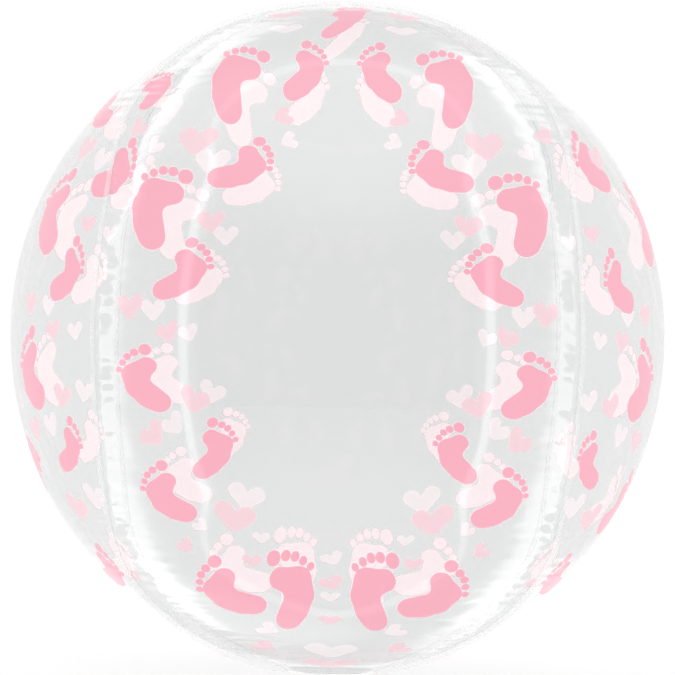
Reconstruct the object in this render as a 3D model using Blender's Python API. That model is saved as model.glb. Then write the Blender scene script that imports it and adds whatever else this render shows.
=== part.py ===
"""A globe foil balloon of clear film: four gore panels with pleated edges, welded along four seams.

Metres, +Z up. The origin is on the floor, under the balloon's centre. The front panel faces -Y.
The inflated balloon is sealed, so each panel is a solid piece, from its skin in to the upright axis.
"""

import bmesh
import bpy
import numpy as np

# Driving dimensions, in metres and degrees
HALF_WIDTH = 0.232          # from the upright axis to the middle of a panel
HALF_HEIGHT = 0.2363        # from the widest level to the top, where the panels close
REST_HALF_WIDTH = 0.027     # half-width of the small flat spot that the balloon rests on
REST_DROP = 0.0033          # how far the gathered bottom end is drawn down around the flat spot
REST_REACH = 0.048          # half-width of the area that the bottom end draws down
SQUARENESS = 0.8            # how much squarer a level section gets from the middle to the ends
SEAM_TURN = 45.0            # from the front panel's middle to its seam, at the widest level
SEAM_TURN_GAIN = 8.5        # how much further round the seam runs near the top and bottom
PLEAT_DEPTH = 0.0018        # from a pleat's ridge to its valley, at the seam
PLEAT_PITCH = 0.021         # from one pleat to the next along the seam
PLEAT_LENGTH = 0.045        # how far a pleat runs in from the seam
SEAM_WIDTH = 0.0040         # how far a welded seam stands out from the corner between two panels
SEAM_END_WIDTH = 0.0030     # the same at the top, where the seams meet
SEAM_THICKNESS = 0.0006     # both films and the weld
SEAM_LIFT = 0.0010          # least height of a seam above the floor beside the flat spot
SEAM_TOP_SPACE = 0.0024     # from the axis to where a seam ends at the top
GAP = 0.0003                # between pieces that touch

# Mesh density
SKIN_COLUMNS = 12           # faces across a panel's width, closer together towards the seams

# Where the seam has finished running further round, as the squared sine of the angle above the middle
SEAM_TURN_END = 0.62

LEVEL_CENTRE = HALF_HEIGHT * np.sqrt(1.0 - (REST_HALF_WIDTH / HALF_WIDTH) ** 2) + REST_DROP

# Each panel's name, which way its middle faces in degrees from +X, and whether it is a wide one
PANELS = (
    ("front_panel", -90.0, True),
    ("right_panel", 0.0, False),
    ("back_panel", 90.0, True),
    ("left_panel", 180.0, False),
)
# Each seam's name and the signs of its X and Y
SEAMS = (
    ("front_right_seam", 1, -1),
    ("back_right_seam", 1, 1),
    ("back_left_seam", -1, 1),
    ("front_left_seam", -1, -1),
)


def smooth_step(low, high, value):
    """Rises from 0 at low to 1 at high with a level start and end."""
    share = np.clip((value - low) / (high - low), 0.0, 1.0)
    return share * share * (3.0 - 2.0 * share)


def half_width(angle):
    """Half the width of the level section at this angle above the widest level."""
    return HALF_WIDTH * np.cos(angle)


def height(angle):
    """Height of the level section: a round profile, drawn down a little around the flat spot."""
    drop = REST_DROP * (1.0 - smooth_step(REST_HALF_WIDTH, REST_REACH, half_width(angle)))
    return LEVEL_CENTRE + HALF_HEIGHT * np.sin(angle) - np.where(angle < 0.0, drop, 0.0)


def radius(angle, turn):
    """Distance from the axis to the skin: a superellipse, round at the middle and squarer at the ends.

    turn is measured from the panel's middle.
    """
    power = 2.0 + SQUARENESS * np.sin(angle) ** 2
    spread = np.abs(np.cos(turn)) ** power + np.abs(np.sin(turn)) ** power
    return half_width(angle) / spread ** (1.0 / power)


def seam_turn(angle, wide):
    """Half the angle that a panel spans at this level: the front and back gain what the sides lose."""
    gain = SEAM_TURN_GAIN * smooth_step(0.0, SEAM_TURN_END, np.sin(angle) ** 2)
    turn = np.radians(SEAM_TURN + gain)
    return turn if wide else np.pi / 2.0 - turn


def row_angles():
    """Angles of the level rows, from the flat spot to the top, with two rows to each pleat."""
    lowest = -np.arccos(REST_HALF_WIDTH / HALF_WIDTH)
    fine = np.linspace(lowest, np.pi / 2.0, 2001)
    r = radius(fine, seam_turn(fine, True))
    along = np.concatenate([[0.0], np.cumsum(np.hypot(np.diff(r), np.diff(height(fine))))])
    pleats = max(8, int(round(along[-1] / PLEAT_PITCH)))
    return np.interp(np.linspace(0.0, along[-1], 2 * pleats + 1), along, fine)


def pleat_in(angles, to_seam):
    """How far pleats draw the skin in: every second row is a valley, shallower away from the seam."""
    valley = (np.arange(len(angles)) % 2)[:, None]
    near = 1.0 - smooth_step(0.0, PLEAT_LENGTH, to_seam)
    room = smooth_step(REST_HALF_WIDTH, 2.0 * REST_REACH, half_width(angles))[:, None]
    return PLEAT_DEPTH * valley * room * near


def skin_grid(wide):
    """The skin of one panel that faces +X: an array of rows by columns by 3."""
    angles = row_angles()
    share = np.sin(np.linspace(-np.pi / 2.0, np.pi / 2.0, SKIN_COLUMNS + 1))
    edge = seam_turn(angles, wide)[:, None]
    turn = edge * share[None, :]
    to_seam = (edge - np.abs(turn)) * half_width(angles)[:, None]
    r = radius(angles[:, None], turn) - pleat_in(angles, to_seam)
    r[-1] = 0.0
    z = np.broadcast_to(height(angles)[:, None], r.shape)
    return np.stack([r * np.cos(turn), r * np.sin(turn), z], axis=2)


def plain_material(name, colour, roughness, alpha):
    """One finish, with its colour, roughness and share of light that it stops."""
    made = bpy.data.materials.new(name)
    made.use_nodes = True
    shader = made.node_tree.nodes["Principled BSDF"]
    shader.inputs["Base Color"].default_value = (*colour, 1.0)
    shader.inputs["Roughness"].default_value = roughness
    shader.inputs["Metallic"].default_value = 0.0
    shader.inputs["Alpha"].default_value = alpha
    return made


def add_piece(name, bm, material):
    """Adds a closed bmesh as a smooth-shaded object with its faces pointing out."""
    bmesh.ops.recalc_face_normals(bm, faces=bm.faces)
    data = bpy.data.meshes.new(name)
    bm.to_mesh(data)
    bm.free()
    data.shade_smooth()
    data.set_sharp_from_angle(angle=np.radians(50.0))
    data.materials.append(material)
    piece = bpy.data.objects.new(name, data)
    bpy.context.scene.collection.objects.link(piece)
    return piece


def add_two(bm, low_a, low_b, high_b, high_a):
    """Two triangles for a four-cornered patch, always split the same way."""
    bm.faces.new((low_a, low_b, high_b))
    bm.faces.new((low_a, high_b, high_a))


def add_panel(name, degrees, wide, material):
    """One panel: the pleated skin, two cut sides that meet at the upright axis and a flat underside."""
    grid = skin_grid(wide)
    bm = bmesh.new()
    rows = [[bm.verts.new(point) for point in row] for row in grid[:-1]]
    axis = [bm.verts.new((0.0, 0.0, row[0, 2])) for row in grid]
    top = axis[-1]
    for i in range(len(rows) - 1):
        low, high = rows[i], rows[i + 1]
        for j in range(SKIN_COLUMNS):
            add_two(bm, low[j], low[j + 1], high[j + 1], high[j])
        for end in (0, SKIN_COLUMNS):
            add_two(bm, axis[i], low[end], high[end], axis[i + 1])
    for j in range(SKIN_COLUMNS):
        bm.faces.new((rows[-1][j], rows[-1][j + 1], top))
        bm.faces.new((rows[0][j + 1], rows[0][j], axis[0]))
    for end in (0, SKIN_COLUMNS):
        bm.faces.new((axis[-2], rows[-1][end], top))
    panel = add_piece(name, bm, material)
    turn = np.radians(degrees)
    outwards = GAP / np.sqrt(2.0) * 1.05
    panel.rotation_euler[2] = turn
    panel.location = (outwards * np.cos(turn), outwards * np.sin(turn), 0.0)


def add_seam(name, sign_x, sign_y, material):
    """A thin strip that follows the pleated corner between two panels, from the flat spot to the top."""
    corner = skin_grid(True)[:, 0]
    r = np.hypot(corner[:, 0], corner[:, 1])
    z = corner[:, 2]
    low_half = z < LEVEL_CENTRE
    width = np.where(low_half, SEAM_WIDTH, SEAM_END_WIDTH + (SEAM_WIDTH - SEAM_END_WIDTH) * r / HALF_WIDTH)
    width = np.minimum(width, np.where(low_half, z - SEAM_LIFT - 2.0 * GAP, width))
    kept = (width > SEAM_THICKNESS) & (r > SEAM_TOP_SPACE)
    along = np.gradient(corner, axis=0)[kept]
    along /= np.linalg.norm(along, axis=1)[:, None]
    # the front panel's middle faces -Y and this corner is on its left, so X and Y change places
    level = np.stack([corner[:, 0] / r.clip(min=1e-9), corner[:, 1] / r.clip(min=1e-9)], axis=1)[kept]
    out_of_level = np.stack([level[:, 0], level[:, 1], np.zeros(len(level))], axis=1)
    side = np.cross(out_of_level, along)
    side /= np.linalg.norm(side, axis=1)[:, None]
    out = np.cross(along, side)
    inner = corner[kept] + 1.5 * GAP * out
    outer = corner[kept] + (1.5 * GAP + width[kept])[:, None] * out
    half = SEAM_THICKNESS / 2.0 * side
    rings = np.stack([inner - half, outer - half, outer + half, inner + half], axis=1)
    rings = np.stack([rings[:, :, 1] * -sign_x, rings[:, :, 0] * sign_y, rings[:, :, 2]], axis=2)
    bm = bmesh.new()
    rings = [[bm.verts.new(point) for point in ring] for ring in rings]
    for low, high in zip(rings[:-1], rings[1:]):
        for k in range(4):
            add_two(bm, low[k], low[(k + 1) % 4], high[(k + 1) % 4], high[k])
    for ring in (rings[0], rings[-1]):
        bm.faces.new(ring[:3])
        bm.faces.new((ring[2], ring[3], ring[0]))
    add_piece(name, bm, material)


def main():
    """Builds the four panels and the four welded seams."""
    for old in list(bpy.data.objects):
        bpy.data.objects.remove(old, do_unlink=True)
    film = plain_material("clear_film", (0.86, 0.87, 0.87), 0.08, 0.30)
    weld = plain_material("welded_film", (0.93, 0.94, 0.94), 0.15, 0.55)
    for name, degrees, wide in PANELS:
        add_panel(name, degrees, wide, film)
    for name, sign_x, sign_y in SEAMS:
        add_seam(name, sign_x, sign_y, weld)


main()
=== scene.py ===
"""Looks of a clear globe foil balloon: pleated panels printed with footprints and hearts, and welded seams.

Lengths are in metres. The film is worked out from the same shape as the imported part.
"""

import math

import bpy
import numpy as np
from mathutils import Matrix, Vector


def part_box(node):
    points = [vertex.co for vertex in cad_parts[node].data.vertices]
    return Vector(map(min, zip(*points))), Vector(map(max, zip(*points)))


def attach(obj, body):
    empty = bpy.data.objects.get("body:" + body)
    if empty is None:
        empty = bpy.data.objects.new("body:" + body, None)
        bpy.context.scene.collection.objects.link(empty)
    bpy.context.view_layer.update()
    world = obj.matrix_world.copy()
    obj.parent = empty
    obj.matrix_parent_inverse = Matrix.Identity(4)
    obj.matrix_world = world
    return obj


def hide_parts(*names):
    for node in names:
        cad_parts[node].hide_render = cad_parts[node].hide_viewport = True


bl_info = {
    "name": "Clear Globe Balloon",
    "version": (1, 0, 0),
    "blender": (4, 5, 0),
    "location": "View3D > Sidebar > Balloon",
    "description": "Dresses the packed globe balloon with pleated, printed film and a studio",
    "category": "Object",
}

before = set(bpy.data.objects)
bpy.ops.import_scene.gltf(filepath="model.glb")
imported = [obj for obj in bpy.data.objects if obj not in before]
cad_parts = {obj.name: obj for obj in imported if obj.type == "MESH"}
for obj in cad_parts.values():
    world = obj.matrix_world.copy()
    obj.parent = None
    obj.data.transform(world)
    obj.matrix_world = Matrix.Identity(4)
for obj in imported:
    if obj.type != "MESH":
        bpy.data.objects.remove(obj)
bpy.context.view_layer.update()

# The balloon's round shape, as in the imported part
REST_HALF_WIDTH = 0.027
REST_DROP = 0.0033
REST_REACH = 0.048
SQUARENESS = 0.8
SEAM_TURN = 45.0
SEAM_TURN_GAIN = 8.5
SEAM_TURN_END = 0.62
HALF_WIDTH = -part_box("front_panel")[0].y
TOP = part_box("front_panel")[1].z
REST_COSINE = math.sqrt(1.0 - (REST_HALF_WIDTH / HALF_WIDTH) ** 2)
HALF_HEIGHT = (TOP - REST_DROP) / (1.0 + REST_COSINE)
LEVEL_CENTRE = HALF_HEIGHT * REST_COSINE + REST_DROP
LOWEST = -math.acos(REST_HALF_WIDTH / HALF_WIDTH)

# The photograph's frame: its size and the balloon's middle in pixels, a pixel's real size, and the tilt
PHOTO_PIXELS = 675
PHOTO_MIDDLE = (337.0, 337.0)
PIXEL = 0.0007117
PHOTO_TILT = math.radians(1.15)
CAMERA_DISTANCE = 3.2

# Footprints on the left half of the front, by the middle of the heel, the big toe and the little toe,
# in the photograph's pixels
FRONT_FEET = (
    ((228, 107), (263, 56), (226, 53)),
    ((293, 89), (306, 44), (326, 62)),
    ((150, 234), (185, 176), (144, 176)),
    ((219, 177), (259, 141), (269, 168)),
    ((164, 289), (191, 242), (210, 266)),
    ((157, 401), (144, 349), (118, 369)),
    ((203, 469), (212, 422), (235, 439)),
    ((184, 512), (161, 465), (142, 488)),
    ((252, 605), (214, 561), (199, 589)),
    ((289, 618), (273, 558), (310, 566)),
)
# The same on the left side only, each with the distance from its heel to its toes, in metres. A place
# just past the outline has a third number, 1.
LEFT_FEET = (
    ((148, 101), (159, 62), (169, 77), 0.028),
    ((105, 118), (131, 84, 1), (105, 98, 1), 0.034),
    ((48, 240), (75, 181), (52, 179), 0.041),
    ((97, 184), (122, 149), (126, 177), 0.032),
    ((55, 289), (73, 244), (83, 268), 0.033),
    ((64, 462), (71, 417), (85, 434), 0.031),
    ((51, 503, 1), (37, 456), (24, 462, 1), 0.034),
)
# Footprints on the right side only, with X counted from the photograph's right edge
RIGHT_FEET = (
    ((30, 240), (57, 181), (36, 176), 0.041),
    ((76, 170), (98, 130), (105, 160), 0.032),
    ((47, 290), (66, 243), (76, 266), 0.033),
    ((76, 470), (80, 421), (93, 436), 0.031),
    ((64, 512), (50, 464), (40, 477), 0.034),
)
# Footprints on both sides, as on the left
SIDE_FEET = (
    ((38, 396), (36, 345), (19, 362), 0.038),
    ((119, 590, 1), (98, 548), (120, 558), 0.038),
)
# The footprint at the upper end, which isn't repeated on the right
TOP_FOOT = ((333, 30), (342, 8), (368, 10))
# Hearts by their middle, width and tilt to the right in degrees, in the photograph's pixels
FRONT_HEARTS = (
    (283, 14, 35, -5),
    (197, 139, 42, 0),
    (283, 116, 24, 60),
    (210, 220, 29, -4),
    (129, 305, 32, -6),
    (167, 331, 25, -24),
    (194, 399, 32, 20),
    (152, 434, 31, -48),
    (234, 516, 42, 12),
    (185, 545, 21, -45),
    (252, 560, 20, 0),
    (263, 646, 30, -40),
)
SIDE_HEARTS = (
    (86, 147, 36, 14),
    (138, 127, 26, 45),
    (87, 223, 24, 0),
    (30, 302, 30, -3),
    (52, 329, 26, -22),
    (61, 395, 30, 20),
    (35, 428, 34, -32),
    (77, 507, 38, 22),
    (132, 575, 21, -10),
)
# Hearts on the middle line, which aren't repeated
MIDDLE_HEARTS = ((331, 582, 25, -18), (329, 619, 22, 0), (330, 663, 56, 0))
# Hearts on the middle line of each side, which the photograph hides: degrees up, width and tilt
SIDE_MIDDLE_HEARTS = ((57.0, 30, 10), (19.0, 28, -12), (3.0, 24, 14), (-19.0, 30, 6), (-58.0, 28, -8))
# A footprint's outline, in shares of the distance from the heel's middle to the toes: stretches of the sole
# as start, end and the half-width at each, then the toes' middles and half-widths. X runs to the toes and
# Y to the big toe's side.
SOLE = (
    ((0.765, 0.195), (0.670, -0.100), 0.190, 0.255),
    ((0.670, -0.100), (0.420, -0.165), 0.255, 0.250),
    ((0.420, -0.165), (0.170, -0.085), 0.250, 0.250),
    ((0.170, -0.085), (0.0, 0.005), 0.250, 0.240),
)
TOES = (
    ((1.094, 0.330), 0.124),
    ((1.119, 0.113), 0.086),
    ((1.091, -0.052), 0.080),
    ((1.011, -0.198), 0.074),
    ((0.907, -0.335), 0.068),
)
SOLE_BLEND = 0.10
# A heart's two lobes, in shares of its width: Y runs up and X to the right
HEART = (
    ((0.01, -0.18), (-0.26, 0.11), 0.205, 0.235),
    ((0.01, -0.18), (0.27, 0.10), 0.205, 0.225),
)
HEART_BLEND = 0.05
# Half the width of a printed edge's blur, in shares of a footprint's length; a heart's is twice that of
# its width
EDGE_BLUR = 0.006
# How densely the border of a footprint is printed
HALO_COVER = 0.35
# Least and greatest width of a footprint that is seen foreshortened, as shares of what its length alone
# would give
NARROWEST = 0.9
WIDEST = 1.3
# Motifs this close to the middle of the sides aren't repeated behind it
BACK_COPY_FROM = 0.055
# How far from its middle a motif can reach, in its own units
MOTIF_REACH = 1.9

# Slow swells of a panel: how many a full turn would have, round the balloon and up it, and how far from a
# seam they reach their full height
SWELLS_ROUND = 7.0
SWELLS_UP = 5.0
SWELL_START = 0.06

# How far round from the camera's side the inner strip lights stand
STRIP_TURN = math.radians(54.5)
# Soft lamps that only the film's mirror shows: degrees round from the camera's side to the right,
# degrees up, reach in degrees and strength
LAMPS = (
    (-160.0, 36.0, 15.0, 0.7),
    (140.0, 42.0, 14.0, 0.9),
    (158.0, -34.0, 15.0, 0.6),
    (-157.0, -58.0, 18.0, 0.5),
    (-133.0, -44.0, 14.0, 0.5),
)

# Brightness of the room that the film mirrors: on the camera's side, past the inner strips and behind the
# balloon; then the brightness of the strips
ROOM_AHEAD = 0.15
ROOM_ASIDE = 0.62
ROOM_BEHIND = 1.05
INNER_STRIP = 2.2
OUTER_STRIP = 2.0
# Light that has passed more see-through faces than this has passed the near film. The shares by which the
# strips and lamps are then dimmed and the room is evened
NEAR_FILM_FACES = 2.5
FAR_DIMMING = 0.75
FAR_EVENING = 0.85
# Brightness that the floor gives off
FLOOR_GLOW = 0.69
WHITE = (1.0, 1.0, 1.0, 1.0)

# The kinds of motif, and the place in a motif that stands for bare film
FOOT = 1.0
HEART_KIND = 2.0
FAR_OFF = 9.0
NO_PRINT = (FAR_OFF, FAR_OFF, 0.0)

# Mesh density: rows up a panel and over its flat spot, columns on each half of it, how many times wider
# the middle columns are than those at the seam, and columns across a welded seam
ROWS = 440
REST_ROWS = 4
COLUMNS_PER_HALF = 47
MIDDLE_COLUMN = 3.6
STRIP_COLUMNS = 5

# A welded seam's least height above the floor, and its least distance from the axis at the top
FLOOR_SPACE = 0.0014
TOP_SPACE = 0.0024
# Its colour and painted glow (white emission that brightens it, though it is no lamp), what it lets
# through, and how much it covers head-on and further edge-on
WELD_COLOUR = (0.95, 0.955, 0.955, 1.0)
WELD_PAINTED_GLOW = 0.12
WELD_TINT = (0.985, 0.987, 0.987, 1.0)
WELD_COVER = 0.30
WELD_EDGE_COVER = 0.25


def smooth_step(low, high, value):
    """Rises from 0 at low to 1 at high with a level start and end."""
    share = np.clip((value - low) / (high - low), 0.0, 1.0)
    return share * share * (3.0 - 2.0 * share)


def half_width(angle):
    """Half the width of the level section at this angle: the half-width times the angle's cosine."""
    return HALF_WIDTH * np.cos(angle)


def height(angle):
    """Height of the level section: a round profile, drawn down a little around the flat spot."""
    drop = REST_DROP * (1.0 - smooth_step(REST_HALF_WIDTH, REST_REACH, half_width(angle)))
    return LEVEL_CENTRE + HALF_HEIGHT * np.sin(angle) - np.where(angle < 0.0, drop, 0.0)


def radius(angle, turn):
    """Distance from the axis: a superellipse whose power grows from 2 at the middle towards the ends."""
    power = 2.0 + SQUARENESS * np.sin(angle) ** 2
    spread = np.abs(np.cos(turn)) ** power + np.abs(np.sin(turn)) ** power
    return half_width(angle) / spread ** (1.0 / power)


def seam_turn(angle, wide):
    """Half the angle that a panel spans: 45 degrees, plus or minus a gain towards the ends."""
    gain = SEAM_TURN_GAIN * smooth_step(0.0, SEAM_TURN_END, np.sin(angle) ** 2)
    turn = np.radians(SEAM_TURN + gain)
    return turn if wide else np.pi / 2.0 - turn


def rows_along_seam():
    """Angle and shrink of each row: a few rows over the flat spot, then equal steps along the seam."""
    fine = np.linspace(LOWEST, np.pi / 2.0, 4001)
    r = radius(fine, seam_turn(fine, True))
    along = np.concatenate([[0.0], np.cumsum(np.hypot(np.diff(r), np.diff(height(fine))))])
    body = np.interp(np.linspace(0.0, along[-1], ROWS), along, fine)
    angle = np.concatenate([np.full(REST_ROWS, LOWEST), body])
    shrink = np.concatenate([np.linspace(0.0, 1.0, REST_ROWS, endpoint=False), np.ones(ROWS)])
    distance = np.concatenate([np.zeros(REST_ROWS), np.linspace(0.0, along[-1], ROWS)])
    return angle, shrink, distance


ROW_ANGLE, ROW_SHRINK, ROW_DISTANCE = rows_along_seam()


def columns_of_half():
    """Shares from a panel's middle to its seam: steps grow evenly from the seam to the middle."""
    steps = np.linspace(MIDDLE_COLUMN, 1.0, COLUMNS_PER_HALF)
    share = np.concatenate([[0.0], np.cumsum(steps)]) / steps.sum()
    return np.concatenate([-share[:0:-1], share])


def waves(rng, count, shortest, longest):
    """A smooth random function of a length, between about -1 and 1: a sum of sines of mixed wavelengths."""
    wavelengths = rng.uniform(shortest, longest, count)
    phases = rng.uniform(0.0, 2.0 * np.pi, count)
    weights = rng.uniform(0.5, 1.0, count)

    def value(s):
        total = sum(w * np.sin(2.0 * np.pi * s / l + p) for w, l, p in zip(weights, wavelengths, phases))
        return total / weights.sum() * 1.6

    return value


class Pleats:
    """The pleats along one seam, as a depth over the distance along the seam and the distance from it."""

    # Depths as shares of the pleat depth: the least pleat, the mean one, its change, and what is lost at
    # the panel's ends; then the long creases, the folds and the gathers
    LEAST = 0.1
    MEAN = 0.80
    CHANGE = 0.45
    END_LOSS = 0.6
    CREASES = 0.20
    FOLDS = 0.45
    GATHERS = 0.33
    # Distances as shares of the pleats' reach: the flattened stretch beside the seam, the creases' mean
    # end and its change, and how far the folds and the gathers reach
    FLAT_REACH = 0.2
    CREASE_END = 2.9
    CREASE_CHANGE = 1.5
    FOLD_REACH = 2.4
    GATHER_REACH = 4.5
    # From one long crease to the next, in pleats
    CREASE_PITCH = 1.5

    def __init__(self, seed, settings):
        rng = np.random.default_rng(seed)
        self.depth = settings.pleat_depth
        self.pitch = settings.pleat_pitch
        self.reach = settings.pleat_reach
        self.drift = waves(rng, 5, 0.050, 0.160)
        self.strength = waves(rng, 6, 0.018, 0.090)
        self.length = waves(rng, 6, 0.012, 0.060)
        self.folds = waves(rng, 5, 0.022, 0.048)
        self.gathers = waves(rng, 4, 0.060, 0.140)
        self.long_drift = waves(rng, 5, 0.030, 0.110)
        self.long_end = waves(rng, 7, 0.013, 0.070)

    def inward(self, s, from_seam, angle):
        """Depth at a distance along the seam and from it.

        Pleats are |sin(pi s / pitch)| with a drifting phase, dying away from the seam as
        exp(-(from_seam / reach) ** 1.3). Long creases each end at a distance of their own. Slower folds and
        gathers reach further in.
        """
        ridge = np.abs(np.sin(np.pi * (s / self.pitch + 0.9 * self.drift(s))))
        ends = smooth_step(0.55, 0.78, np.abs(np.sin(angle)))
        strong = np.clip(self.MEAN + self.CHANGE * self.strength(s), self.LEAST, None)
        strong = strong * (1.0 - self.END_LOSS * ends)
        reach = self.reach * (1.0 + 0.55 * self.length(s) + 0.5 * ends)
        near = np.exp(-((from_seam / reach) ** 1.3))
        near = near * (1.0 - 0.85 * np.exp(-from_seam / (self.FLAT_REACH * self.reach)))
        long_phase = s / (self.CREASE_PITCH * self.pitch) + 1.1 * self.long_drift(s)
        long_ridge = np.abs(np.sin(np.pi * long_phase)) ** 0.7
        long_end = self.reach * (self.CREASE_END + self.CREASE_CHANGE * self.long_end(s))
        fade = 0.8 * self.reach
        long_share = 1.0 - smooth_step(long_end - fade, long_end, from_seam)
        creases = self.CREASES * long_ridge * long_share * smooth_step(0.0, fade, from_seam)
        folds = self.FOLDS * self.folds(s) * np.exp(-from_seam / (self.FOLD_REACH * self.reach)) * near
        gathers = self.GATHERS * self.gathers(s) * np.exp(-from_seam / (self.GATHER_REACH * self.reach))
        clear = smooth_step(1.05 * REST_HALF_WIDTH, 2.2 * REST_REACH, half_width(angle))
        return self.depth * clear * (strong * ridge * near + creases + folds + gathers)


def outwards(angle, turn):
    """Unit vectors away from the balloon's middle, for a panel that faces +X."""
    level = np.cos(angle)
    return np.stack(np.broadcast_arrays(level * np.cos(turn), level * np.sin(turn), np.sin(angle)), axis=-1)


def film_surface(wide, low_pleats, high_pleats, inset, puff):
    """Points of a panel that faces +X: the round shape, moved in along its own direction by the pleats."""
    angle = ROW_ANGLE[:, None]
    edge = seam_turn(angle, wide)
    turn = edge * columns_of_half()[None, :]
    r = radius(angle, turn) * ROW_SHRINK[:, None]
    flat = np.stack(np.broadcast_arrays(r * np.cos(turn), r * np.sin(turn), height(angle)), axis=-1)
    s = ROW_DISTANCE[:, None]
    from_low = (edge + turn) * half_width(angle)
    from_high = (edge - turn) * half_width(angle)
    depth = np.where(
        turn < 0.0, low_pleats.inward(s, from_low, angle), high_pleats.inward(s, from_high, angle)
    )
    middle = smooth_step(0.0, SWELL_START, np.minimum(from_low, from_high))
    middle = middle * smooth_step(0.1, 0.5, np.cos(angle))
    swell = puff * middle * np.sin(SWELLS_ROUND * turn + 1.3) * np.sin(SWELLS_UP * angle + 0.4)
    flat += outwards(angle, turn) * (swell - depth - inset)[..., None]
    flat[..., 2] = np.maximum(flat[..., 2], inset)
    flat[0, :, :2] = 0.0
    flat[-1, :, :2] = 0.0
    return flat


def turned(points, degrees):
    """Points turned about the upright axis."""
    c, s = math.cos(math.radians(degrees)), math.sin(math.radians(degrees))
    return np.stack([c * points[..., 0] - s * points[..., 1], s * points[..., 0] + c * points[..., 1],
                     points[..., 2]], axis=-1)


def grid_faces(index, flip):
    """Four-cornered faces of an index grid; where a whole edge is one point the face has three corners."""
    a, b, c, d = index[:-1, :-1], index[:-1, 1:], index[1:, 1:], index[1:, :-1]
    quads = np.stack([a, b, c, d], axis=-1).reshape(-1, 4)
    return quads[:, ::-1] if flip else quads


def split_faces(quads):
    """Loop indices and face sizes, with repeated corners dropped."""
    keep = quads != np.roll(quads, 1, axis=1)
    return quads[keep], keep.sum(axis=1), keep


def mesh_from(name, points, quads, materials, material_index):
    """A smooth-shaded mesh object from points and an array of faces with four corners each."""
    corners, sizes, keep = split_faces(quads)
    starts = np.concatenate([[0], np.cumsum(sizes)[:-1]])
    data = bpy.data.meshes.new(name)
    data.vertices.add(len(points))
    data.vertices.foreach_set("co", points.astype(np.float32).ravel())
    data.loops.add(len(corners))
    data.loops.foreach_set("vertex_index", corners.astype(np.int32))
    data.polygons.add(len(sizes))
    data.polygons.foreach_set("loop_start", starts.astype(np.int32))
    for material in materials:
        data.materials.append(material)
    data.polygons.foreach_set("material_index", material_index.astype(np.int32))
    data.update(calc_edges=True)
    data.validate()
    data.shade_smooth()
    made = bpy.data.objects.new(name, data)
    bpy.context.scene.collection.objects.link(made)
    return made, keep


def depth_at(x, z):
    """How far in front of the axis the round film is, at this place seen from the front, or 0 past it."""
    angle = math.asin(max(-1.0, min(1.0, (z - LEVEL_CENTRE) / HALF_HEIGHT)))
    power = 2.0 + SQUARENESS * math.sin(angle) ** 2
    a = HALF_WIDTH * math.cos(angle)
    return max(0.0, a ** power - abs(x) ** power) ** (1.0 / power)


def on_film(px, py, past=0):
    """The place on the round film that the photograph shows at a pixel, on the far side where past is 1."""
    dx, up = (px - PHOTO_MIDDLE[0]) * PIXEL, (PHOTO_MIDDLE[1] - py) * PIXEL
    x = dx * math.cos(PHOTO_TILT) - up * math.sin(PHOTO_TILT)
    z = dx * math.sin(PHOTO_TILT) + up * math.cos(PHOTO_TILT)
    near = 0.0
    for _ in range(8):
        scale = 1.0 - near / CAMERA_DISTANCE
        near = depth_at(x * scale, LEVEL_CENTRE + z * scale) * (-1.0 if past else 1.0)
    scale = 1.0 - near / CAMERA_DISTANCE
    return np.array([x * scale, -near, LEVEL_CENTRE + z * scale])


def film_normal(place):
    """Direction out of the round film at a place on it, from the shape's own slope."""
    x, y, z = place
    angle = math.asin(max(-1.0, min(1.0, (z - LEVEL_CENTRE) / HALF_HEIGHT)))
    power = 2.0 + SQUARENESS * math.sin(angle) ** 2
    level = np.array([np.sign(x) * abs(x) ** (power - 1.0), np.sign(y) * abs(y) ** (power - 1.0)])
    level = level / max(1e-12, np.linalg.norm(level))
    out = np.array([level[0] * math.cos(angle), level[1] * math.cos(angle), math.sin(angle)])
    return out / np.linalg.norm(out)


def foot_motif(heel, big, little, length=None):
    """A footprint from the places of its heel and outer toes: the two vectors whose products with the way
    from the heel give a place's X and Y in the footprint's outline. One seen foreshortened has its length
    given, and gets square axes in the film, from the big toe where the heel is hidden."""
    hidden_heel = len(heel) > 2
    heel, big, little = on_film(*heel), on_film(*big), on_film(*little)
    (big_x, big_y), (little_x, little_y) = TOES[0][0], TOES[-1][0]
    ways = np.linalg.inv([[big_x, big_y], [little_x, little_y]]) @ np.array([big - heel, little - heel])
    if length is not None:
        out = film_normal(big if hidden_heel else heel + 0.25 * (big - heel) + 0.25 * (little - heel))
        along = ways[0] - out * np.dot(ways[0], out)
        along *= length / np.linalg.norm(along)
        across = np.cross(out, along) / length
        seen = np.dot(across, ways[1])
        wide = np.clip(abs(seen), NARROWEST * length, WIDEST * length)
        ways = np.array([along, across * np.sign(seen) * wide])
        if hidden_heel:
            heel = big - np.array([big_x, big_y]) @ ways
    return FOOT, heel, np.linalg.pinv(ways).T, np.linalg.norm(ways[0])


def heart_motif(px, py, width, tilt):
    """A heart from its middle, width and tilt in the photograph, laid flat on the film there."""
    middle = on_film(px, py)
    out = film_normal(middle)
    lean = math.radians(tilt)
    up = np.array([math.sin(lean), 0.0, math.cos(lean)])
    up -= out * np.dot(up, out)
    up /= np.linalg.norm(up)
    unit = width * PIXEL
    return HEART_KIND, middle, np.array([np.cross(up, out), up]) / unit, unit


def side_heart(degrees_up, width, tilt):
    """A heart on the middle line of the left side, laid flat on the film there."""
    angle, lean = math.radians(degrees_up), math.radians(tilt)
    middle = np.array([-HALF_WIDTH * math.cos(angle), 0.0, LEVEL_CENTRE + HALF_HEIGHT * math.sin(angle)])
    out = film_normal(middle)
    across = np.array([0.0, -1.0, 0.0])
    up = math.cos(lean) * np.cross(out, across) + math.sin(lean) * across
    unit = width * PIXEL
    return HEART_KIND, middle, np.array([np.cross(up, out), up]) / unit, unit


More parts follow.
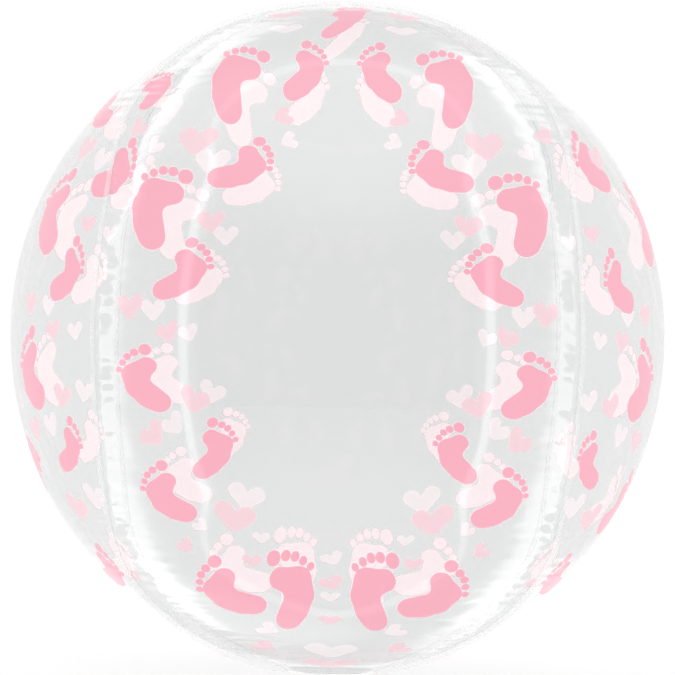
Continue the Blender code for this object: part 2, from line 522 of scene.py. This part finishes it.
def mirrored(mark, axis):
    """A motif mirrored in X (0) or Y (1)."""
    kind, middle, ways, unit = mark
    flip = np.ones(3)
    flip[axis] = -1.0
    return kind, middle * flip, ways * flip, unit


def print_layout():
    """All the motifs: those that the halves share are mirrored to the right, and most are to the back."""
    shared = [foot_motif(*f) for f in FRONT_FEET + SIDE_FEET]
    shared += [heart_motif(*h) for h in FRONT_HEARTS + SIDE_HEARTS]
    left = shared + [foot_motif(*f) for f in LEFT_FEET]
    right = [mirrored(m, 0) for m in shared + [foot_motif(*f) for f in RIGHT_FEET]]
    middle = [heart_motif(*h) for h in MIDDLE_HEARTS] + [foot_motif(*TOP_FOOT)]
    front = left + right + middle
    back = [mirrored(m, 1) for m in front if abs(m[1][1]) > BACK_COPY_FROM]
    sides = [side_heart(*h) for h in SIDE_MIDDLE_HEARTS]
    return front + back + sides + [mirrored(m, 0) for m in sides]


def rounded_bar(x, y, start, end, r0, r1):
    """Distance to a bar with round ends whose half-width runs from r0 to r1."""
    dx, dy = end[0] - start[0], end[1] - start[1]
    t = np.clip(((x - start[0]) * dx + (y - start[1]) * dy) / (dx * dx + dy * dy), 0.0, 1.0)
    return np.hypot(x - start[0] - t * dx, y - start[1] - t * dy) - (r0 + (r1 - r0) * t)


def distance_to(kind, x, y):
    """Distance to a footprint's or heart's outline in its own units, negative inside."""
    if kind == FOOT:
        parts = [rounded_bar(x, y, *bar) for bar in SOLE]
        parts += [np.hypot(x - c[0], y - c[1]) - r for c, r in TOES]
    else:
        parts = [rounded_bar(x, y, *bar) for bar in HEART]
    return np.min(parts, axis=0)


def print_places(points, quads, marks):
    """For each face corner its place in the nearest motif: X, Y in the motif's units and its kind."""
    corner_points = points[quads]
    centres = corner_points.mean(axis=1)
    best = np.full(len(quads), np.inf)
    places = np.broadcast_to(np.array(NO_PRINT), (*quads.shape, 3)).copy()
    for kind, middle, ways, unit in marks:
        close = np.nonzero(np.linalg.norm(centres - middle, axis=1) < MOTIF_REACH * unit)[0]
        flat = (centres[close] - middle) @ ways.T
        away = distance_to(kind, flat[:, 0], flat[:, 1]) * unit
        better = away < best[close]
        chosen = close[better]
        best[chosen] = away[better]
        places[chosen, :, :2] = (corner_points[chosen] - middle) @ ways.T
        places[chosen, :, 2] = kind
    return places


class Value:
    """A shader socket that takes part in Python expressions; each operation adds its Math node."""

    def __init__(self, tree, socket):
        self.tree = tree
        self.socket = socket

    def _math(self, operation, *operands):
        return Value(self.tree, add_node(self.tree, "ShaderNodeMath", {"operation": operation},
                                         dict(enumerate(operands))).outputs[0])

    def __add__(self, other):
        return self._math("ADD", self, other)

    def __radd__(self, other):
        return self._math("ADD", other, self)

    def __sub__(self, other):
        return self._math("SUBTRACT", self, other)

    def __rsub__(self, other):
        return self._math("SUBTRACT", other, self)

    def __mul__(self, other):
        return self._math("MULTIPLY", self, other)

    def __rmul__(self, other):
        return self._math("MULTIPLY", other, self)

    def __pow__(self, other):
        return self._math("POWER", self, other)

    def __abs__(self):
        return self._math("ABSOLUTE", self)

    def least(self, other):
        return self._math("MINIMUM", self, other)

    def blend_least(self, other, reach):
        return self._math("SMOOTH_MIN", self, other, reach)

    def most(self, other):
        return self._math("MAXIMUM", self, other)

    def above(self, other):
        return self._math("GREATER_THAN", self, other)

    def step(self, low, high, at_low=0.0, at_high=1.0):
        """Runs smoothly from at_low at low to at_high at high."""
        ends = {"From Min": low, "From Max": high, "To Min": at_low, "To Max": at_high}
        smooth = {"interpolation_type": "SMOOTHSTEP"}
        node = add_node(self.tree, "ShaderNodeMapRange", smooth, {"Value": self, **ends})
        return Value(self.tree, node.outputs["Result"])


def add_node(tree, kind, settings, sockets):
    """A node of any type, with its settings and the values or links of its inputs."""
    node = tree.nodes.new(kind)
    for key, value in settings.items():
        setattr(node, key, value)
    for key, value in sockets.items():
        if isinstance(value, Value):
            tree.links.new(value.socket, node.inputs[key])
        elif isinstance(value, bpy.types.NodeSocket):
            tree.links.new(value, node.inputs[key])
        else:
            node.inputs[key].default_value = value
    return node


def vector_math(tree, operation, first, second):
    """One step of vector arithmetic."""
    return add_node(tree, "ShaderNodeVectorMath", {"operation": operation}, {0: first, 1: second})


def mix_colours(tree, factor, first, second):
    """One colour laid over another by a mask."""
    node = add_node(tree, "ShaderNodeMix", {"data_type": "RGBA"}, {0: factor, 6: first, 7: second})
    return node.outputs[2]


def bar_distance(tree, place, start, end, r0, r1):
    """Shader nodes for rounded_bar: the nearest point on the stretch, and the distance to it less the
    half-width there."""
    run = (end[0] - start[0], end[1] - start[1], 0.0)
    square = run[0] ** 2 + run[1] ** 2
    scaled = tuple(v / square for v in run)
    way = vector_math(tree, "SUBTRACT", place, (*start, 0.0)).outputs[0]
    along = vector_math(tree, "DOT_PRODUCT", way, scaled).outputs["Value"]
    t = Value(tree, add_node(tree, "ShaderNodeClamp", {}, {0: along}).outputs[0])
    nearest = add_node(tree, "ShaderNodeVectorMath", {"operation": "SCALE"}, {0: run, "Scale": t})
    off = vector_math(tree, "DISTANCE", way, nearest.outputs[0]).outputs["Value"]
    return Value(tree, off) - (r0 + (r1 - r0) * t)


def spot_distance(tree, place, middle, r):
    """Shader nodes for the distance to a round spot."""
    return Value(tree, vector_math(tree, "DISTANCE", place, (*middle, 0.0)).outputs["Value"]) - r


def print_masks(tree):
    """Distances to the printed footprint and heart at this point of the film, in the motif's units."""
    read = add_node(tree, "ShaderNodeAttribute", {"attribute_name": "print_place"}, {})
    parts = add_node(tree, "ShaderNodeSeparateXYZ", {}, {0: read.outputs["Vector"]})
    flat = add_node(tree, "ShaderNodeCombineXYZ", {}, {0: parts.outputs[0], 1: parts.outputs[1]}).outputs[0]
    kind = Value(tree, parts.outputs[2])
    sole = bar_distance(tree, flat, *SOLE[0])
    for bar in SOLE[1:]:
        sole = sole.blend_least(bar_distance(tree, flat, *bar), SOLE_BLEND)
    foot = sole
    for middle, r in TOES:
        foot = foot.least(spot_distance(tree, flat, middle, r))
    heart = bar_distance(tree, flat, *HEART[0])
    heart = heart.blend_least(bar_distance(tree, flat, *HEART[1]), HEART_BLEND)
    is_heart = kind.above(0.5 * (FOOT + HEART_KIND))
    return foot + FAR_OFF * is_heart, heart + FAR_OFF * (1.0 - is_heart)


def edge_on(tree):
    """How far the surface is turned away from the eye: 0 head-on and 1 edge-on."""
    return Value(tree, add_node(tree, "ShaderNodeLayerWeight", {}, {"Blend": 0.5}).outputs["Facing"])


def mix_shaders(tree, share, first, second):
    """The first shader with a share of the second."""
    sockets = {0: share, 1: first.outputs[0], 2: second.outputs[0]}
    return add_node(tree, "ShaderNodeMixShader", {}, sockets)


def mirror_over(tree, under, gloss, least_mirror, edge_mirror, edge_power):
    """A glossy face over another shader, mirroring a little head-on and much more edge-on."""
    mirror = add_node(tree, "ShaderNodeBsdfAnisotropic", {}, {"Color": WHITE, "Roughness": gloss})
    share = least_mirror + edge_mirror * edge_on(tree) ** edge_power
    return mix_shaders(tree, share, under, mirror)


def film_material(name, settings, colours, inside):
    """Clear film with its print: pink on the outside, and the pale backing of the ink on the inside, which
    also gives off a painted glow that brightens it.
    """
    made = bpy.data.materials.new(name)
    made.use_nodes = True
    tree = made.node_tree
    tree.nodes.clear()
    foot, heart = print_masks(tree)
    foot_mask = foot.step(-EDGE_BLUR, EDGE_BLUR, 1.0, 0.0)
    halo_mask = foot.step(settings.halo - EDGE_BLUR, settings.halo + EDGE_BLUR, 1.0, 0.0)
    heart_mask = heart.step(-EDGE_BLUR * 2.0, EDGE_BLUR * 2.0, 1.0, 0.0)
    if inside:
        foot_colour, heart_colour = colours.foot_backing, colours.heart_backing
    else:
        foot_colour, heart_colour = colours.foot, colours.heart
    colour = mix_colours(tree, heart_mask, (*colours.halo, 1.0), (*heart_colour, 1.0))
    colour = mix_colours(tree, foot_mask, colour, (*foot_colour, 1.0))
    # On the inside the ink gives off a painted glow: emission that makes the pale backing brighter, though
    # it is no lamp.
    ink = add_node(tree, "ShaderNodeBsdfPrincipled", {}, {
        "Base Color": colour, "Roughness": 0.5, "Specular IOR Level": 0.0,
        "Emission Color": colour, "Emission Strength": settings.backing_painted_glow if inside else 0.0})
    cover = foot_mask.most(HALO_COVER * halo_mask).most(settings.heart_cover * heart_mask)
    through = add_node(tree, "ShaderNodeBsdfTransparent", {}, {"Color": (*settings.film_tint, 1.0)})
    body = mix_shaders(tree, cover, through, ink)
    film = mirror_over(tree, body, settings.film_gloss, settings.mirror, settings.edge_mirror, 4.0)
    add_node(tree, "ShaderNodeOutputMaterial", {}, {"Surface": film.outputs[0]})
    return made


def weld_material(name):
    """Two films melted together: whiter and duller than the film, brightened further by a painted glow,
    with uneven strength along the seam.
    """
    made = bpy.data.materials.new(name)
    made.use_nodes = True
    tree = made.node_tree
    tree.nodes.clear()
    where = add_node(tree, "ShaderNodeTexCoord", {}, {}).outputs["Object"]
    noise = add_node(tree, "ShaderNodeTexNoise", {}, {"Vector": where, "Scale": 90.0, "Detail": 3.0})
    uneven = Value(tree, noise.outputs[0]).step(0.35, 0.65, 0.55, 1.0)
    # The weld's white emission is a painted glow that brightens it; it is no lamp.
    body = add_node(tree, "ShaderNodeBsdfPrincipled", {}, {
        "Base Color": WELD_COLOUR, "Roughness": 0.5, "Specular IOR Level": 0.0,
        "Emission Color": WHITE, "Emission Strength": WELD_PAINTED_GLOW})
    through = add_node(tree, "ShaderNodeBsdfTransparent", {}, {"Color": WELD_TINT})
    share = (WELD_COVER + WELD_EDGE_COVER * edge_on(tree) ** 3.0) * uneven
    both = mix_shaders(tree, share, through, body)
    add_node(tree, "ShaderNodeOutputMaterial", {}, {"Surface": both.outputs[0]})
    return made


def mirrored_room(x, y, z):
    """Brightness of the room and of its strip lights in a direction: X right, Y away from the camera, Z up.

    The inner strips stand where |x| cos(turn) + y sin(turn) is 0, and lean back near the ends. The outer
    ones stand just before |x| + y reaches 1.
    """
    aside, steep = abs(x), abs(z)
    lean = steep.step(0.68, 0.95, 0.0, 0.25)
    past_inner = aside * math.cos(STRIP_TURN) + y * math.sin(STRIP_TURN) - lean
    past_outer = aside + y - 1.0
    ahead = ROOM_AHEAD + steep.step(0.35, 0.85, 0.0, 0.40)
    room = ahead + (ROOM_ASIDE - ahead) * past_inner.step(-0.10, 0.10)
    behind = past_outer.step(-0.22, 0.10).most(0.4 * y.step(0.1, 0.7))
    ceiling = z.step(0.45, 1.0, 0.0, 0.75) * y.step(0.1, 0.5, 1.0, 0.0)
    room = room + (ROOM_BEHIND - room) * behind + ceiling
    # low behind, which shows along the upper and lower ends of the outline
    rim = y.step(0.70, 0.92) * (steep - aside).step(-0.15, 0.05) * steep.step(0.35, 0.5, 1.0, 0.0)
    inner = (INNER_STRIP - 1.4 * steep.step(0.6, 0.95)) * abs(past_inner).step(0.015, 0.045, 1.0, 0.0)
    sharp_edge = past_outer - z.step(-0.5, -0.05, 0.11, 0.0)
    outer = OUTER_STRIP * past_outer.step(-0.24, -0.07) * sharp_edge.step(-0.045, -0.025, 1.0, 0.0)
    return room + 0.4 * rim, inner + outer * y.step(0.55, 0.75, 1.0, 0.0)


def mirrored_lamps(tree, where):
    """Brightness of the soft lamps in a direction: each fades out from half its reach to the whole."""
    light = 0.0
    for azimuth, elevation, reach, strength in LAMPS:
        round_turn, up = math.radians(azimuth), math.radians(elevation)
        way = (math.sin(round_turn) * math.cos(up), -math.cos(round_turn) * math.cos(up), math.sin(up))
        near = Value(tree, vector_math(tree, "DOT_PRODUCT", where, way).outputs["Value"])
        edge, core = math.cos(math.radians(reach)), math.cos(math.radians(0.5 * reach))
        light = light + strength * near.step(edge, core)
    return light


# Each panel: its name, the node it stands for, the way it faces, whether it is wide, and its two seams
PANELS = (
    ("front_film", "front_panel", -90.0, True, "front_left", "front_right"),
    ("right_film", "right_panel", 0.0, False, "front_right", "back_right"),
    ("back_film", "back_panel", 90.0, True, "back_right", "back_left"),
    ("left_film", "left_panel", 180.0, False, "back_left", "front_left"),
)
# Each seam: the seed of its pleats, and the signs of its X and Y
SEAMS = {
    "front_left": (11, -1, -1),
    "front_right": (23, 1, -1),
    "back_right": (37, 1, 1),
    "back_left": (41, -1, 1),
}


def all_pleats(settings):
    """The pleats of every seam."""
    return {name: Pleats(seed, settings) for name, (seed, _, _) in SEAMS.items()}


class FilmSettings(bpy.types.PropertyGroup):
    """Sizes and finish of the film."""

    thickness: bpy.props.FloatProperty(
        name="Thickness", description="Film thickness", default=0.00025, unit="LENGTH", precision=5)
    pleat_depth: bpy.props.FloatProperty(
        name="Pleat Depth", description="Depth of a pleat at the seam", default=0.0013, unit="LENGTH",
        precision=5)
    pleat_pitch: bpy.props.FloatProperty(
        name="Pleat Pitch", description="From pleat to pleat along a seam", default=0.0088, unit="LENGTH")
    pleat_reach: bpy.props.FloatProperty(
        name="Pleat Reach", description="How far in a pleat fades", default=0.017, unit="LENGTH")
    puff: bpy.props.FloatProperty(
        name="Puff", description="Height of the slow swells in a panel", default=0.0003, unit="LENGTH",
        precision=5)
    film_tint: bpy.props.FloatVectorProperty(
        name="Film Tint", description="What one face of the film lets through",
        default=(0.936, 0.938, 0.938), subtype="COLOR", size=3)
    film_gloss: bpy.props.FloatProperty(
        name="Gloss Width", description="Roughness of the film's mirror", default=0.06, min=0.0, max=1.0)
    mirror: bpy.props.FloatProperty(
        name="Mirror", description="Share mirrored by a face seen head-on", default=0.035, min=0.0, max=1.0)
    edge_mirror: bpy.props.FloatProperty(
        name="Edge Mirror", description="Further share mirrored edge-on", default=0.42, min=0.0, max=1.0)
    halo: bpy.props.FloatProperty(
        name="Halo", description="Pale border of a footprint, as a share of its length", default=0.016)
    heart_cover: bpy.props.FloatProperty(
        name="Heart Cover", description="How densely the hearts are printed", default=0.8, min=0.0, max=1.0)
    # Painted glow: emission on the inside ink that makes the pale backing brighter than its light alone
    # would.
    backing_painted_glow: bpy.props.FloatProperty(
        name="Backing Painted Glow", description="Light that the pale ink passes on", default=0.32, min=0.0)


class InkColours(bpy.types.PropertyGroup):
    """Colours of the print."""

    foot: bpy.props.FloatVectorProperty(
        name="Footprint", description="Outside ink of the footprints", default=(0.96, 0.45, 0.55),
        subtype="COLOR", size=3)
    heart: bpy.props.FloatVectorProperty(
        name="Heart", description="Outside ink of the hearts", default=(0.93, 0.66, 0.71),
        subtype="COLOR", size=3)
    halo: bpy.props.FloatVectorProperty(
        name="Halo", description="Pale border of a footprint", default=(0.97, 0.90, 0.92),
        subtype="COLOR", size=3)
    foot_backing: bpy.props.FloatVectorProperty(
        name="Footprint Backing", description="Inside face of the footprint ink",
        default=(0.97, 0.85, 0.87), subtype="COLOR", size=3)
    heart_backing: bpy.props.FloatVectorProperty(
        name="Heart Backing", description="Inside face of the heart ink", default=(0.97, 0.94, 0.95),
        subtype="COLOR", size=3)


class SeamSettings(bpy.types.PropertyGroup):
    """Sizes of the welded seams."""

    width: bpy.props.FloatProperty(
        name="Width", description="How far a seam stands out", default=0.0040, unit="LENGTH", precision=5)
    end_width: bpy.props.FloatProperty(
        name="End Width", description="The same at the top", default=0.0030, unit="LENGTH", precision=5)
    thickness: bpy.props.FloatProperty(
        name="Thickness", description="Both films and the weld", default=0.0004, unit="LENGTH", precision=5)
    crimp: bpy.props.FloatProperty(
        name="Crimp", description="Sideways wave of the seam's free edge", default=0.00015, unit="LENGTH",
        precision=5)


class StageSettings(bpy.types.PropertyGroup):
    """Floor, light and camera."""

    backdrop: bpy.props.FloatProperty(
        name="Backdrop", description="Brightness of the white backdrop", default=1.02)
    fill: bpy.props.FloatProperty(
        name="Fill", description="Brightness of the even light", default=1.0)
    floor_colour: bpy.props.FloatVectorProperty(
        name="Floor", description="Colour of the floor", default=(0.35, 0.35, 0.35),
        subtype="COLOR", size=3)


class BALLOON_OT_film(bpy.types.Operator):
    """Make the four printed film panels"""

    bl_idname = "balloon.film"
    bl_label = "Film Panels"

    def execute(self, context):
        settings, colours = context.scene.balloon_film, context.scene.balloon_inks
        outer = film_material("printed film, outside", settings, colours, False)
        inner = film_material("printed film, inside", settings, colours, True)
        pleats = all_pleats(settings)
        layout = print_layout()
        for name, node, degrees, wide, low, high in PANELS:
            self.add_panel(
                name, node, degrees, wide, pleats[low], pleats[high], layout, settings, (outer, inner))
        return {"FINISHED"}

    def add_panel(self, name, node, degrees, wide, low, high, marks, settings, materials):
        """Two skins a film's thickness apart, joined along both seams and closed at both ends."""
        skins = [turned(film_surface(wide, low, high, inset, settings.puff), degrees)
                 for inset in (0.0, settings.thickness)]
        rows, columns = skins[0].shape[:2]
        index = np.arange(rows * columns).reshape(rows, columns)
        index[0] = index[0, 0]
        index[-1] = index[-1, 0]
        inner_index = index + rows * columns
        outside = grid_faces(index, False)
        inside = grid_faces(inner_index, True)
        rims = [grid_faces(np.stack([inner_index[:, 0], index[:, 0]], axis=1), False),
                grid_faces(np.stack([index[:, -1], inner_index[:, -1]], axis=1), False)]
        quads = np.concatenate([outside, inside, *rims])
        points = np.concatenate([skin.reshape(-1, 3) for skin in skins])
        kinds = np.concatenate([np.zeros(len(outside)), np.ones(len(inside) + sum(map(len, rims)))])
        places = print_places(points, outside, marks)
        rim_places = np.broadcast_to(np.array(NO_PRINT), (sum(map(len, rims)), 4, 3))
        places = np.concatenate([places, places[:, ::-1], rim_places])
        used, fresh = np.unique(quads, return_inverse=True)
        made, keep = mesh_from(name, points[used], fresh.reshape(quads.shape), materials, kinds)
        attribute = made.data.attributes.new("print_place", "FLOAT_VECTOR", "CORNER")
        attribute.data.foreach_set("vector", places[keep].astype(np.float32).ravel())
        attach(made, "root")
        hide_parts(node)


class BALLOON_OT_seams(bpy.types.Operator):
    """Make the four welded seams"""

    bl_idname = "balloon.seams"
    bl_label = "Welded Seams"

    def execute(self, context):
        settings = context.scene.balloon_seams
        material = weld_material("welded film")
        pleats = all_pleats(context.scene.balloon_film)
        for name, (_, sign_x, sign_y) in SEAMS.items():
            self.add_seam(name, sign_x, sign_y, pleats[name], settings, material)
        return {"FINISHED"}

    def add_seam(self, name, sign_x, sign_y, pleats, settings, material):
        """A thin strip along the pleated corner, waving sideways towards its free edge."""
        angle, s = ROW_ANGLE[REST_ROWS:], ROW_DISTANCE[REST_ROWS:]
        turn = np.pi / 2.0 - seam_turn(angle, True)
        r = radius(angle, turn)
        smooth = np.stack([r * np.cos(turn), r * np.sin(turn), height(angle)], axis=-1)
        corner = smooth - outwards(angle, turn) * pleats.inward(s, np.zeros_like(s), angle)[:, None]
        along = np.gradient(smooth, axis=0)
        along /= np.linalg.norm(along, axis=1)[:, None]
        level = smooth * (1.0, 1.0, 0.0) / np.maximum(r, 1e-9)[:, None]
        side = np.cross(level, along)
        side /= np.maximum(np.linalg.norm(side, axis=1), 1e-9)[:, None]
        out = np.cross(side, along)
        out *= np.sign((out * outwards(angle, turn)).sum(axis=1))[:, None]
        low = angle < 0.0
        upper_width = settings.end_width + (settings.width - settings.end_width) * r / HALF_WIDTH
        width = np.where(low, settings.width, upper_width)
        width = np.minimum(width, np.where(low, height(angle) - FLOOR_SPACE, width))
        kept = (width > settings.thickness) & (r > TOP_SPACE)
        share = np.linspace(0.0, 1.0, STRIP_COLUMNS)[None, :, None]
        wave = settings.crimp * np.sin(2.0 * np.pi * (s / pleats.pitch * 0.5 + 0.5 * pleats.drift(s)))
        wave += 0.5 * settings.crimp * pleats.folds(s)
        face = corner[kept, None] + share * width[kept, None, None] * out[kept, None]
        face = face + share ** 1.5 * wave[kept, None, None] * side[kept, None]
        half = settings.thickness / 2.0 * side[kept, None]
        ring = np.concatenate([face - half, (face + half)[:, ::-1]], axis=1) * (sign_x, sign_y, 1.0)
        rows, columns = ring.shape[:2]
        index = np.arange(rows * columns).reshape(rows, columns)
        wrapped = np.concatenate([index, index[:, :1]], axis=1)
        flip = sign_x * sign_y > 0
        sides = grid_faces(wrapped, flip)
        caps = []
        for end, turned_over in ((0, not flip), (-1, flip)):
            pairs = np.stack([index[end, :STRIP_COLUMNS], index[end, ::-1][:STRIP_COLUMNS]], axis=0)
            caps.append(grid_faces(pairs, turned_over))
        quads = np.concatenate([sides, *caps])
        made, _ = mesh_from(name + "_weld", ring.reshape(-1, 3), quads, (material,), np.zeros(len(quads)))
        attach(made, "root")
        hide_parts(name + "_seam")


class BALLOON_OT_stage(bpy.types.Operator):
    """Make the floor, the light and the camera"""

    bl_idname = "balloon.stage"
    bl_label = "Stage"

    def execute(self, context):
        settings = context.scene.balloon_stage
        self.add_floor(settings)
        self.add_world(context, settings)
        self.add_camera(context)
        context.scene.view_settings.view_transform = "Standard"
        context.scene.cycles.transparent_max_bounces = 24
        return {"FINISHED"}

    def add_floor(self, settings):
        """A wide flat floor, pale and lit from within a little so that it stays white."""
        reach = 12.0
        corners = [(-reach, -reach, 0.0), (reach, -reach, 0.0), (reach, reach, 0.0), (-reach, reach, 0.0)]
        material = bpy.data.materials.new("pale floor")
        material.use_nodes = True
        shader = material.node_tree.nodes["Principled BSDF"]
        shader.inputs["Base Color"].default_value = (*settings.floor_colour, 1.0)
        shader.inputs["Roughness"].default_value = 0.9
        shader.inputs["Specular IOR Level"].default_value = 0.0
        shader.inputs["Emission Color"].default_value = WHITE
        shader.inputs["Emission Strength"].default_value = FLOOR_GLOW
        made, _ = mesh_from("floor", np.array(corners), np.array([[0, 1, 2, 3]]), (material,), np.zeros(1))
        made.visible_glossy = False

    def add_world(self, context, settings):
        """White all round for the eye, while the film mirrors a duller room with strip lights and lamps.

        For light that has passed the near film the strips and lamps are dimmed and the room is evened, so
        that the far film doesn't show them again.
        """
        world = bpy.data.worlds.new("studio")
        context.scene.world = world
        world.use_nodes = True
        tree = world.node_tree
        tree.nodes.clear()
        ray = add_node(tree, "ShaderNodeLightPath", {}, {})
        where = add_node(tree, "ShaderNodeTexCoord", {}, {}).outputs["Generated"]
        parts = add_node(tree, "ShaderNodeSeparateXYZ", {}, {0: where})
        x, y, z = (Value(tree, parts.outputs[k]) for k in range(3))
        room, strips = mirrored_room(x, y, z)
        far_side = Value(tree, ray.outputs["Transparent Depth"]).above(NEAR_FILM_FACES)
        lights = (strips + mirrored_lamps(tree, where)) * (1.0 - FAR_DIMMING * far_side)
        room = room + FAR_EVENING * far_side * (1.0 - room)
        glossy = Value(tree, ray.outputs["Is Glossy Ray"])
        camera = Value(tree, ray.outputs["Is Camera Ray"])
        seen = settings.fill + glossy * (room + lights - settings.fill)
        strength = seen + camera * (settings.backdrop - seen)
        light = add_node(tree, "ShaderNodeBackground", {}, {"Color": WHITE, "Strength": strength})
        add_node(tree, "ShaderNodeOutputWorld", {}, {"Surface": light.outputs[0]})

    def add_camera(self, context):
        """A long lens, level with the balloon's middle and turned a little as the photograph is."""
        data = bpy.data.cameras.new("camera")
        data.sensor_width = 36.0
        data.lens = 36.0 * CAMERA_DISTANCE / (PHOTO_PIXELS * PIXEL)
        data.clip_end = 50.0
        camera = bpy.data.objects.new("camera", data)
        context.scene.collection.objects.link(camera)
        camera.location = (0.0, -CAMERA_DISTANCE, LEVEL_CENTRE)
        camera.rotation_mode = "XYZ"
        camera.rotation_euler = (math.pi / 2.0, -PHOTO_TILT, 0.0)
        context.scene.camera = camera


class BALLOON_PT_panel(bpy.types.Panel):
    """Lists the balloon's sizes, colours and pieces"""

    bl_label = "Balloon"
    bl_idname = "BALLOON_PT_panel"
    bl_space_type = "VIEW_3D"
    bl_region_type = "UI"
    bl_category = "Balloon"

    def draw(self, context):
        for group, operator in zip(GROUPS, OPERATORS_BY_GROUP):
            settings = getattr(context.scene, group)
            for key in settings.__annotations__:
                self.layout.prop(settings, key)
            if operator is not None:
                self.layout.operator(operator.bl_idname)


GROUPS = {
    "balloon_film": FilmSettings,
    "balloon_inks": InkColours,
    "balloon_seams": SeamSettings,
    "balloon_stage": StageSettings,
}
OPERATORS_BY_GROUP = (BALLOON_OT_film, None, BALLOON_OT_seams, BALLOON_OT_stage)
CLASSES = (*GROUPS.values(), BALLOON_OT_film, BALLOON_OT_seams, BALLOON_OT_stage, BALLOON_PT_panel)


def register():
    """Registers the classes and hangs the settings on the scene."""
    for one in CLASSES:
        bpy.utils.register_class(one)
    for name, group in GROUPS.items():
        setattr(bpy.types.Scene, name, bpy.props.PointerProperty(type=group))


def unregister():
    """Takes the settings and classes away again."""
    for name in GROUPS:
        delattr(bpy.types.Scene, name)
    for one in reversed(CLASSES):
        bpy.utils.unregister_class(one)


def main():
    """Makes every piece and the stage."""
    register()
    bpy.ops.balloon.film()
    bpy.ops.balloon.seams()
    bpy.ops.balloon.stage()


if __name__ == "__main__":
    main()
